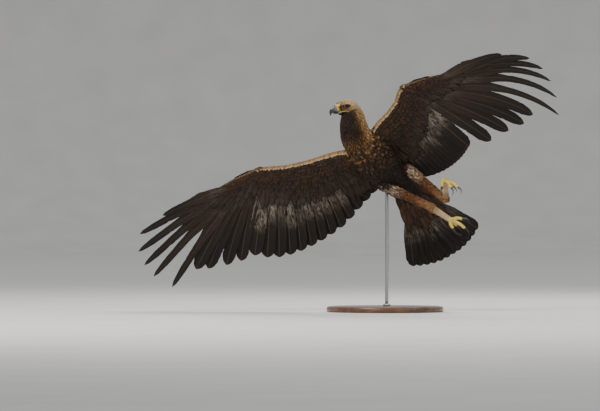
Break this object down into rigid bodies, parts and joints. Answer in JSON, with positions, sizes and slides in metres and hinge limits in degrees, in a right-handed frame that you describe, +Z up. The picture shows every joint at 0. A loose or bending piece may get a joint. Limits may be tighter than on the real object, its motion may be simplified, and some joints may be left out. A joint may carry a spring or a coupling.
{
  "type": "golden eagle model",
  "caption": "Life-size golden eagle in banking flight, wings spread and talons out, held on a plain stand with a round wooden base and a steel rod.",
  "frame": {"origin": "centre of the stand base's underside, on the floor", "axes": "+Z up; the belly and the viewer's side face -Y; the bird's right wing points to -X"},
  "size_m": [1.7509, 0.8367, 1.074],
  "materials": {
    "plumage_dark": "matte dark brown feathers",
    "plumage_gold": "golden brown hackles",
    "thigh_feather": "rusty brown feathers",
    "shank_feather": "pale buff feathers",
    "yellow_skin": "waxy yellow skin",
    "bill_horn": "satin blue-grey horn, black at the tip",
    "claw_horn": "satin black horn",
    "eye": "clear glossy eye, brown iris",
    "stand_steel": "brushed",
    "stand_wood": "satin varnish"
  },
  "bodies": {
    "root": {"head": "plumage_gold", "cere": "yellow_skin", "bill_upper": "bill_horn", "bill_lower": "bill_horn", "eye_left": "eye", "eye_right": "eye", "neck": "plumage_gold", "torso": "plumage_dark", "tail": "plumage_dark", "wing_right_hand": "plumage_dark", "wing_right_arm": "plumage_dark", "wing_left_hand": "plumage_dark", "wing_left_arm": "plumage_dark", "thigh_right": "thigh_feather", "shank_right": "shank_feather", "foot_right": "yellow_skin", "claw_right_inner": "claw_horn", "claw_right_middle": "claw_horn", "claw_right_outer": "claw_horn", "claw_right_hind": "claw_horn", "thigh_left": "thigh_feather", "shank_left": "shank_feather", "foot_left": "yellow_skin", "claw_left_inner": "claw_horn", "claw_left_middle": "claw_horn", "claw_left_outer": "claw_horn", "claw_left_hind": "claw_horn", "stand_rod": "stand_steel", "stand_base": "stand_wood"}
  },
  "joints": []
}
